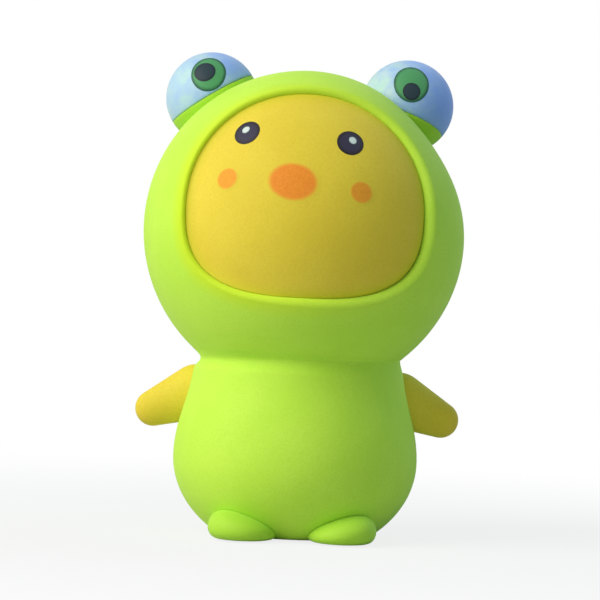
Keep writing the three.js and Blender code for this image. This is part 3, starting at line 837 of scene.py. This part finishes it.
# Stage: a plain white table in a white studio, under a large softbox at the picture's upper left
# and a weak cool one behind at its right. The table fades into white away from the toy's shadow.
# Its sizes are in metres.
FLOOR_HALF = 3
FLOOR_DROP = 0.0002
SHADOW_REACH = 0.05
WHITE_REACH = 0.3
FLOOR_LIFT = 0.82
TABLE_GREY = "d4d4d4"
WHITE = (1, 1, 1, 1)
AMBIENT = 0.28
AMBIENT_COLOUR = "dcf8ff"
LAMP_DISTANCE = 1
LAMP_SIZE = 0.7
LAMPS = {
    "key_softbox": {"azimuth": -58, "elevation": 36, "watts": 9.2, "colour": "fffaee"},
    "rim_softbox": {"azimuth": 122, "elevation": 42, "watts": 1.6, "colour": "b4e4ff"},
}
VIEW_DISTANCE = 0.65
VIEW_ELEVATION = 0.4
VIEW_ROLL = 2.4
VIEW_PIVOT = Vector((0, 0, 0.0558))
VIEW_AIM = Vector((-0.00037, 0, 0.0573))
SENSOR_WIDTH = 36
PHOTO_WIDTH = 600
FOCAL_PIXELS = 2655

floor_shape = bmesh.new()
bmesh.ops.create_grid(floor_shape, x_segments=1, y_segments=1, size=FLOOR_HALF)
bmesh.ops.translate(floor_shape, vec=(0, 0, -FLOOR_DROP), verts=floor_shape.verts)
table, tree = new_material("white_table")
tree.nodes.clear()
place = add(tree, "ShaderNodeTexCoord", {}, {}).outputs["Object"]
distance = add(tree, "ShaderNodeVectorMath", {"operation": "LENGTH"}, {0: place}).outputs["Value"]
lifted = add(tree, "ShaderNodeMapRange",
             {"interpolation_type": "SMOOTHSTEP", "From Min": SHADOW_REACH, "From Max": WHITE_REACH,
              "To Min": FLOOR_LIFT},
             {"Value": distance}).outputs[0]
path = add(tree, "ShaderNodeLightPath", {}, {})
seen = add(tree, "ShaderNodeMath", {"operation": "MULTIPLY"},
           {0: lifted, 1: path.outputs["Is Camera Ray"]}).outputs[0]
paint = add(tree, "ShaderNodeBsdfDiffuse", {"Color": linear(TABLE_GREY)}, {}).outputs[0]
glow = add(tree, "ShaderNodeEmission", {"Color": WHITE, "Strength": 1}, {}).outputs[0]
surface = add(tree, "ShaderNodeMixShader", {}, {0: seen, 1: paint, 2: glow}).outputs[0]
add(tree, "ShaderNodeOutputMaterial", {}, {"Surface": surface})
piece("floor", floor_shape, table)

world = bpy.data.worlds.new("white_studio")
bpy.context.scene.world = world
world.use_nodes = True
tree = world.node_tree
tree.nodes.clear()
path = add(tree, "ShaderNodeLightPath", {}, {})
seen = add(tree, "ShaderNodeMath", {"operation": "MAXIMUM"},
           {0: path.outputs["Is Camera Ray"], 1: path.outputs["Is Glossy Ray"]}).outputs[0]
seen = add(tree, "ShaderNodeMath", {"operation": "MAXIMUM"},
           {0: seen, 1: path.outputs["Is Transmission Ray"]}).outputs[0]
soft = add(tree, "ShaderNodeBackground", {"Color": linear(AMBIENT_COLOUR), "Strength": AMBIENT},
           {}).outputs[0]
white = add(tree, "ShaderNodeBackground", {"Color": WHITE, "Strength": 1}, {}).outputs[0]
surface = add(tree, "ShaderNodeMixShader", {}, {0: seen, 1: soft, 2: white}).outputs[0]
add(tree, "ShaderNodeOutputWorld", {}, {"Surface": surface})


def round_toy(azimuth, elevation, distance):
    """A place round the toy, by azimuth from the front towards its left, elevation and distance."""
    a, e = math.radians(azimuth), math.radians(elevation)
    outwards = Vector((math.sin(a) * math.cos(e), -math.cos(a) * math.cos(e), math.sin(e)))
    return VIEW_PIVOT + distance * outwards


for name, lamp in LAMPS.items():
    softbox = bpy.data.lights.new(name, "AREA")
    softbox.size = LAMP_SIZE
    softbox.energy = lamp["watts"]
    softbox.color = linear(lamp["colour"])[:3]
    holder = bpy.data.objects.new(name, softbox)
    holder.location = round_toy(lamp["azimuth"], lamp["elevation"], LAMP_DISTANCE)
    holder.rotation_euler = (VIEW_PIVOT - holder.location).to_track_quat("-Z", "Y").to_euler()
    bpy.context.scene.collection.objects.link(holder)

lens = bpy.data.cameras.new("camera")
lens.sensor_width = SENSOR_WIDTH
lens.lens = lens.sensor_width * FOCAL_PIXELS / PHOTO_WIDTH
camera = bpy.data.objects.new("camera", lens)
camera.location = round_toy(0, VIEW_ELEVATION, VIEW_DISTANCE)
aim = (VIEW_AIM - camera.location).to_track_quat("-Z", "Y").to_matrix()
camera.rotation_euler = (aim @ Matrix.Rotation(math.radians(VIEW_ROLL), 3, "Z")).to_euler()
bpy.context.scene.collection.objects.link(camera)
bpy.context.scene.camera = camera
bpy.context.scene.view_settings.view_transform = "Standard"
